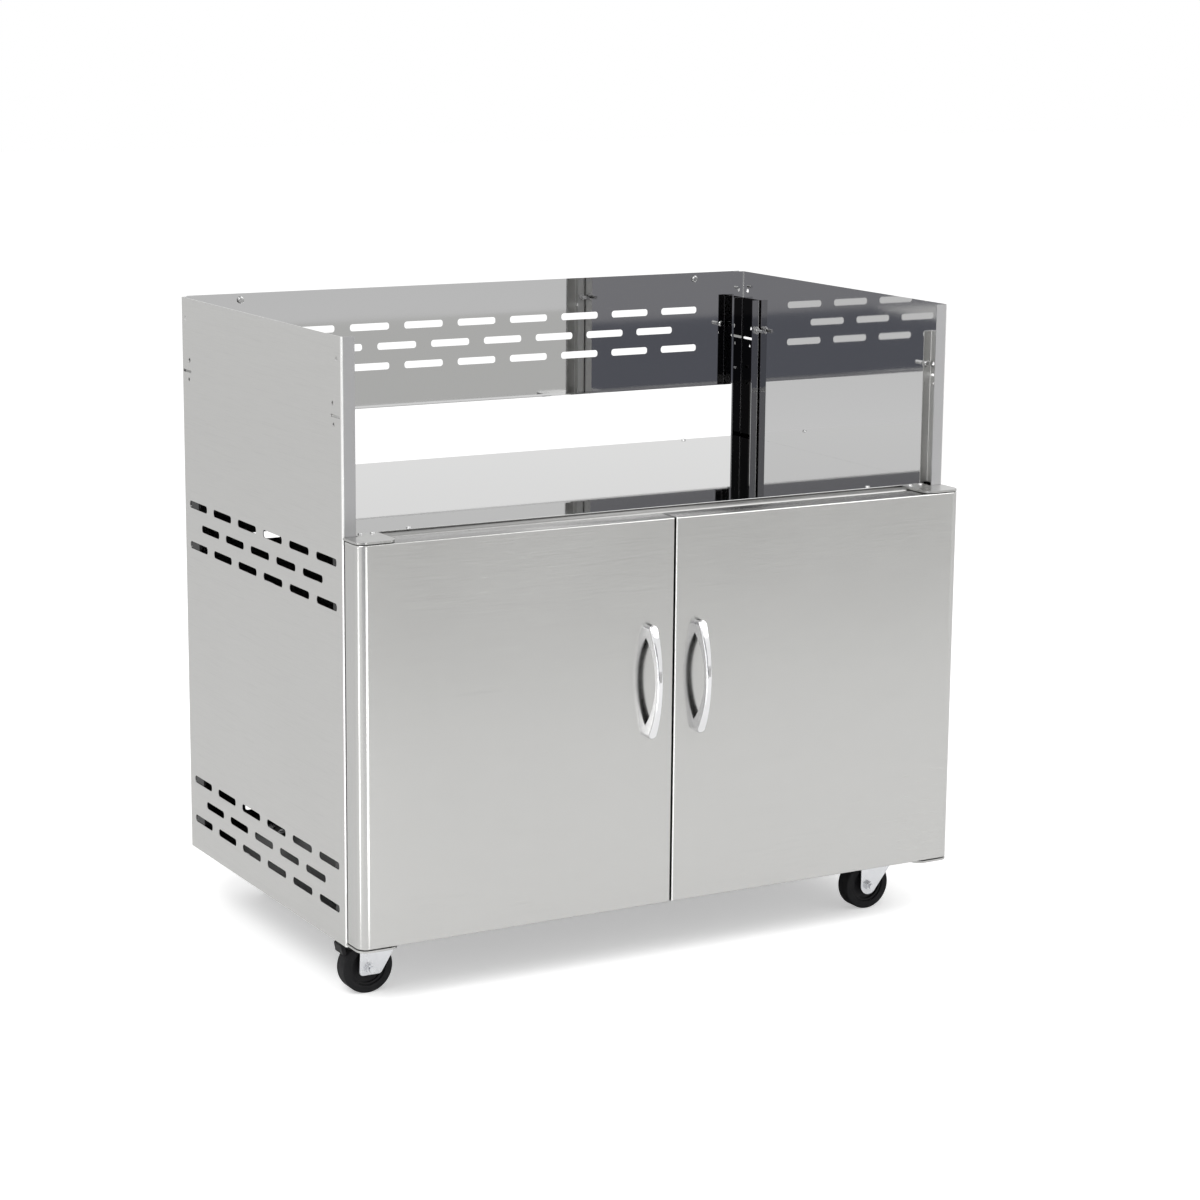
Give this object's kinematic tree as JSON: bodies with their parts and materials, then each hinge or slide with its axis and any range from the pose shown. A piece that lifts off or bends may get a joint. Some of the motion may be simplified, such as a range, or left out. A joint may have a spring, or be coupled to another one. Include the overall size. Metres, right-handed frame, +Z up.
{
  "type": "grill cart",
  "caption": "Stainless steel cart for a drop-in grill, with an open bay between slotted side and back panels above a cabinet with hinged doors, on swivel casters.",
  "frame": {"origin": "on the floor, under the middle of the cart's bounding box", "axes": "+X to the cart's right as seen from the front, +Y from the doors to the back, +Z up"},
  "size_m": [0.99, 0.6582, 0.934],
  "materials": {
    "stainless_sheet": "fine horizontal brushed grain",
    "hinge_steel": "satin",
    "fastener_steel": "bright",
    "handle_chrome": "polished",
    "zinc_steel": "bright zinc plate",
    "black_plastic": "matte",
    "wheel_plastic": "matte",
    "wheel_rubber": "matte"
  },
  "bodies": {
    "cabinet": {"left_side_panel": "stainless_sheet", "right_side_panel": "stainless_sheet", "upper_back_panel": "stainless_sheet", "lower_back_panel": "stainless_sheet", "deck_panel": "stainless_sheet", "front_top_rail": "stainless_sheet", "base_panel": "stainless_sheet", "front_left_post": "stainless_sheet", "front_right_post": "stainless_sheet", "rear_left_post": "stainless_sheet", "rear_right_post": "stainless_sheet", "upper_left_hinge_plate": "hinge_steel", "upper_right_hinge_plate": "hinge_steel", "lower_left_hinge_plate": "hinge_steel", "lower_right_hinge_plate": "hinge_steel", "hinge_pins": "hinge_steel", "hinge_plate_screws": "fastener_steel", "deck_screws": "fastener_steel", "back_panel_screws": "fastener_steel", "grill_bolts": "fastener_steel", "caster_bolts": "fastener_steel", "door_catches": "black_plastic", "front_left_caster_plate": "zinc_steel", "front_right_caster_plate": "zinc_steel", "rear_left_caster_plate": "zinc_steel", "rear_right_caster_plate": "zinc_steel"},
    "left_door": {"left_door_shell": "stainless_sheet", "left_door_liner": "stainless_sheet", "left_handle": "handle_chrome", "left_handle_screws": "fastener_steel", "left_door_bushes": "black_plastic", "left_strike_plate": "fastener_steel"},
    "right_door": {"right_door_shell": "stainless_sheet", "right_door_liner": "stainless_sheet", "right_handle": "handle_chrome", "right_handle_screws": "fastener_steel", "right_door_bushes": "black_plastic", "right_strike_plate": "fastener_steel"},
    "front_left_swivel": {"front_left_fork": "zinc_steel", "front_left_axle": "zinc_steel", "front_left_brake_pin": "zinc_steel"},
    "front_left_wheel": {"front_left_wheel_core": "wheel_plastic", "front_left_tyre": "wheel_rubber"},
    "front_left_brake": {"front_left_brake_pedal": "wheel_plastic"},
    "front_right_swivel": {"front_right_fork": "zinc_steel", "front_right_axle": "zinc_steel"},
    "front_right_wheel": {"front_right_wheel_core": "wheel_plastic", "front_right_tyre": "wheel_rubber"},
    "rear_left_swivel": {"rear_left_fork": "zinc_steel", "rear_left_axle": "zinc_steel", "rear_left_brake_pin": "zinc_steel"},
    "rear_left_wheel": {"rear_left_wheel_core": "wheel_plastic", "rear_left_tyre": "wheel_rubber"},
    "rear_left_brake": {"rear_left_brake_pedal": "wheel_plastic"},
    "rear_right_swivel": {"rear_right_fork": "zinc_steel", "rear_right_axle": "zinc_steel"},
    "rear_right_wheel": {"rear_right_wheel_core": "wheel_plastic", "rear_right_tyre": "wheel_rubber"}
  },
  "joints": [
    {"name": "left_door_hinge", "type": "hinge", "parent": "cabinet", "child": "left_door", "pos_m": [-0.484, -0.2741, 0.37425], "axis": [0, 0, -1], "range_deg": [0, 115]},
    {"name": "right_door_hinge", "type": "hinge", "parent": "cabinet", "child": "right_door", "pos_m": [0.484, -0.2741, 0.37425], "axis": [0, 0, 1], "range_deg": [0, 115]},
    {"name": "front_left_swivel", "type": "hinge", "parent": "cabinet", "child": "front_left_swivel", "pos_m": [-0.4235, -0.2041, 0.091], "axis": [0, 0, 1], "continuous": true},
    {"name": "front_left_wheel_spin", "type": "hinge", "parent": "front_left_swivel", "child": "front_left_wheel", "pos_m": [-0.4463, -0.2041, 0.038], "axis": [0, 1, 0], "continuous": true},
    {"name": "front_left_brake", "type": "hinge", "parent": "front_left_swivel", "child": "front_left_brake", "pos_m": [-0.4655, -0.2041, 0.0765], "axis": [0, -1, 0], "range_deg": [0, 9]},
    {"name": "front_right_swivel", "type": "hinge", "parent": "cabinet", "child": "front_right_swivel", "pos_m": [0.4235, -0.2041, 0.091], "axis": [0, 0, 1], "continuous": true},
    {"name": "front_right_wheel_spin", "type": "hinge", "parent": "front_right_swivel", "child": "front_right_wheel", "pos_m": [0.4007, -0.2041, 0.038], "axis": [0, 1, 0], "continuous": true},
    {"name": "rear_left_swivel", "type": "hinge", "parent": "cabinet", "child": "rear_left_swivel", "pos_m": [-0.345, 0.2779, 0.091], "axis": [0, 0, 1], "continuous": true},
    {"name": "rear_left_wheel_spin", "type": "hinge", "parent": "rear_left_swivel", "child": "rear_left_wheel", "pos_m": [-0.3678, 0.2779, 0.038], "axis": [0, 1, 0], "continuous": true},
    {"name": "rear_left_brake", "type": "hinge", "parent": "rear_left_swivel", "child": "rear_left_brake", "pos_m": [-0.387, 0.2779, 0.0765], "axis": [0, -1, 0], "range_deg": [0, 9]},
    {"name": "rear_right_swivel", "type": "hinge", "parent": "cabinet", "child": "rear_right_swivel", "pos_m": [0.345, 0.2779, 0.091], "axis": [0, 0, 1], "continuous": true},
    {"name": "rear_right_wheel_spin", "type": "hinge", "parent": "rear_right_swivel", "child": "rear_right_wheel", "pos_m": [0.3222, 0.2779, 0.038], "axis": [0, 1, 0], "continuous": true}
  ]
}
